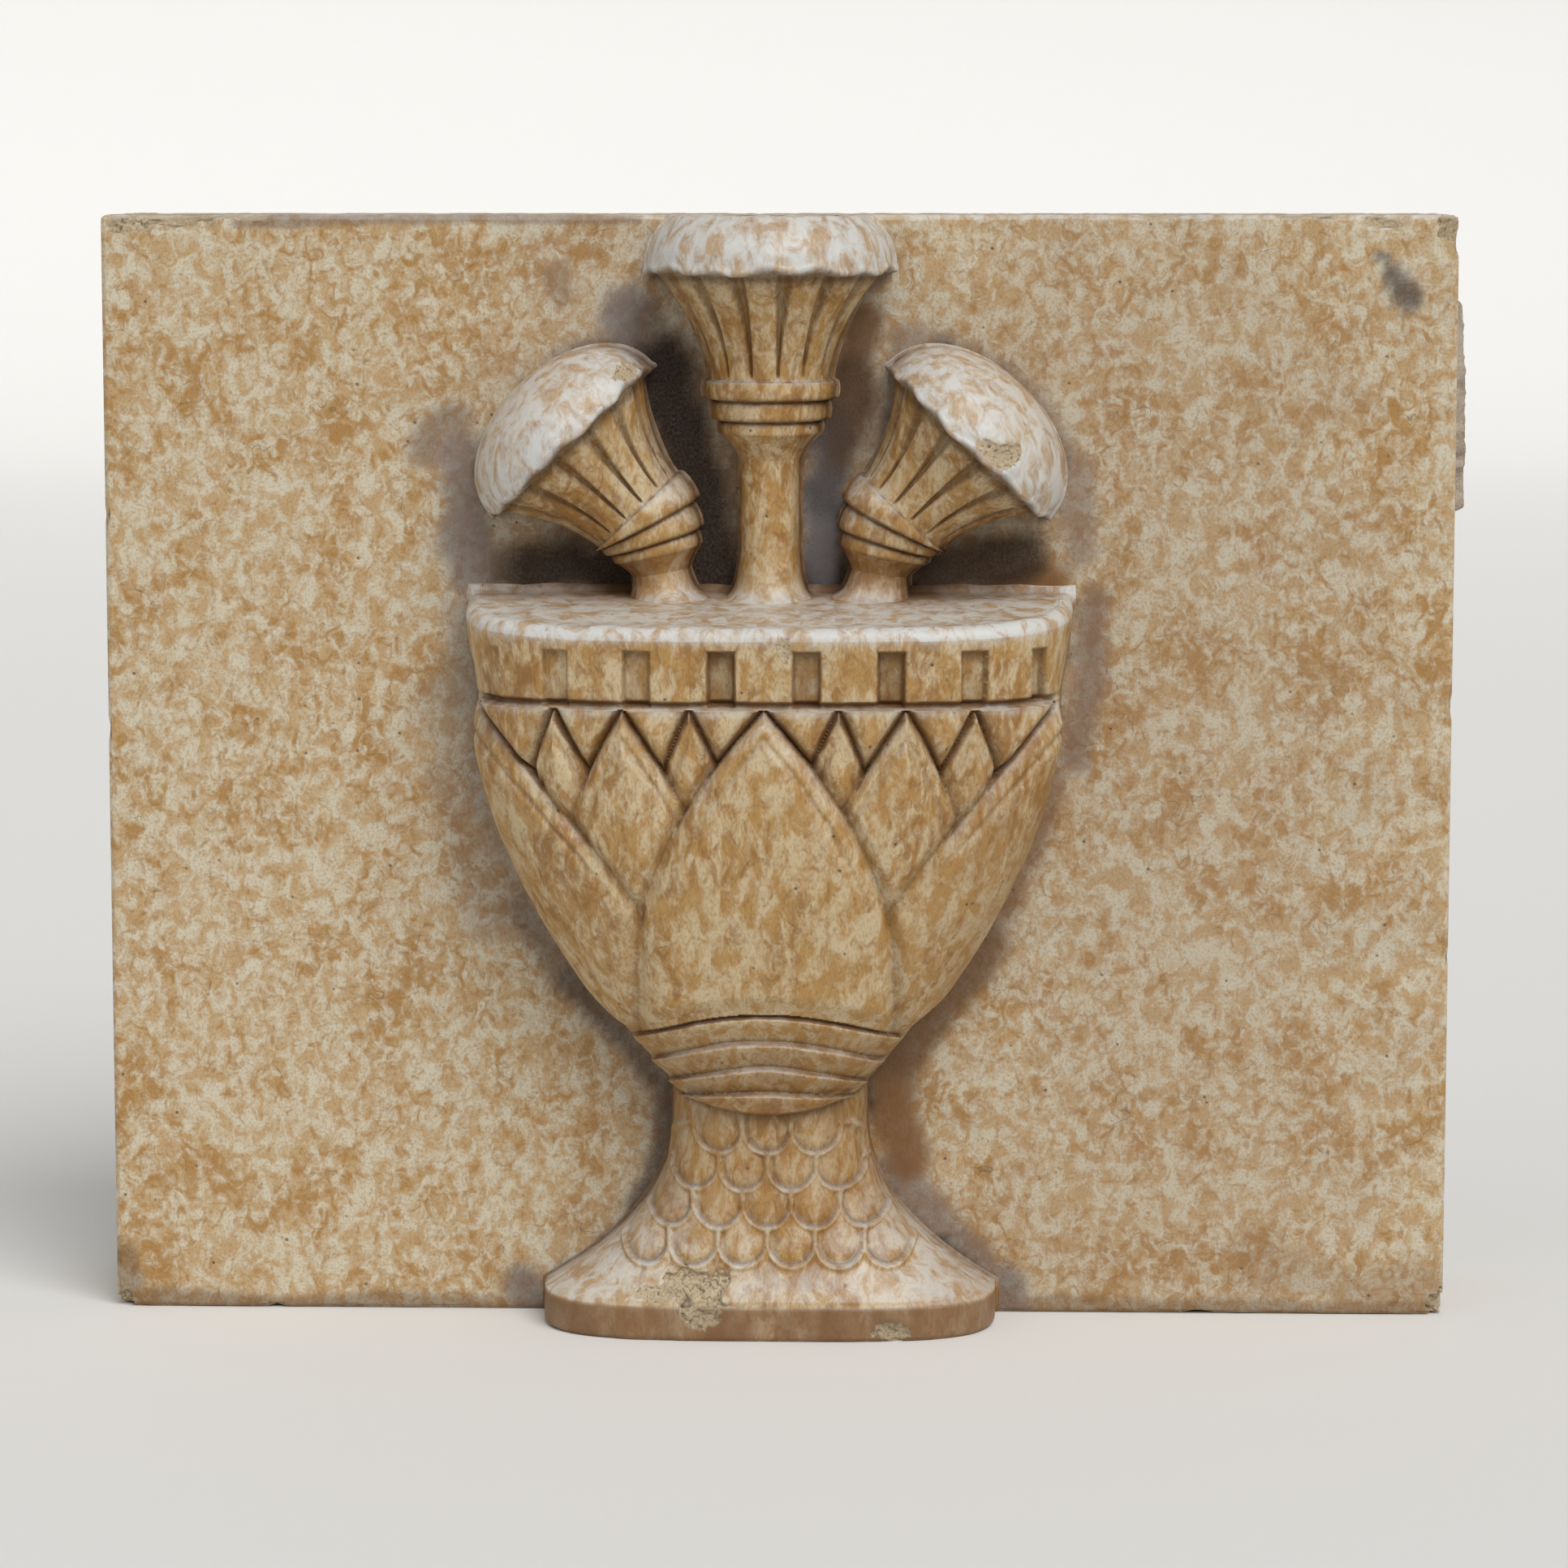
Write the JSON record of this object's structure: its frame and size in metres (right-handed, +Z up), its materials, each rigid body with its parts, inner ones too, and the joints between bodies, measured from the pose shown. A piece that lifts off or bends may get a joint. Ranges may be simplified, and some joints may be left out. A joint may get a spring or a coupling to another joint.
{
  "type": "glazed terracotta relief panel",
  "caption": "Hollow-backed glazed terracotta wall block with a petal-carved urn of papyrus flowers in high relief.",
  "frame": {"origin": "middle of the block's bed, on the plane of the glazed face", "axes": "+X to the viewer's right, +Y into the wall, +Z up from the bed"},
  "size_m": [0.6157, 0.1958, 0.501],
  "materials": {
    "glaze": "satin",
    "mortar": "matte"
  },
  "bodies": {
    "root": {"glazed_block": "glaze", "mortar_remnant": "mortar"}
  },
  "joints": []
}
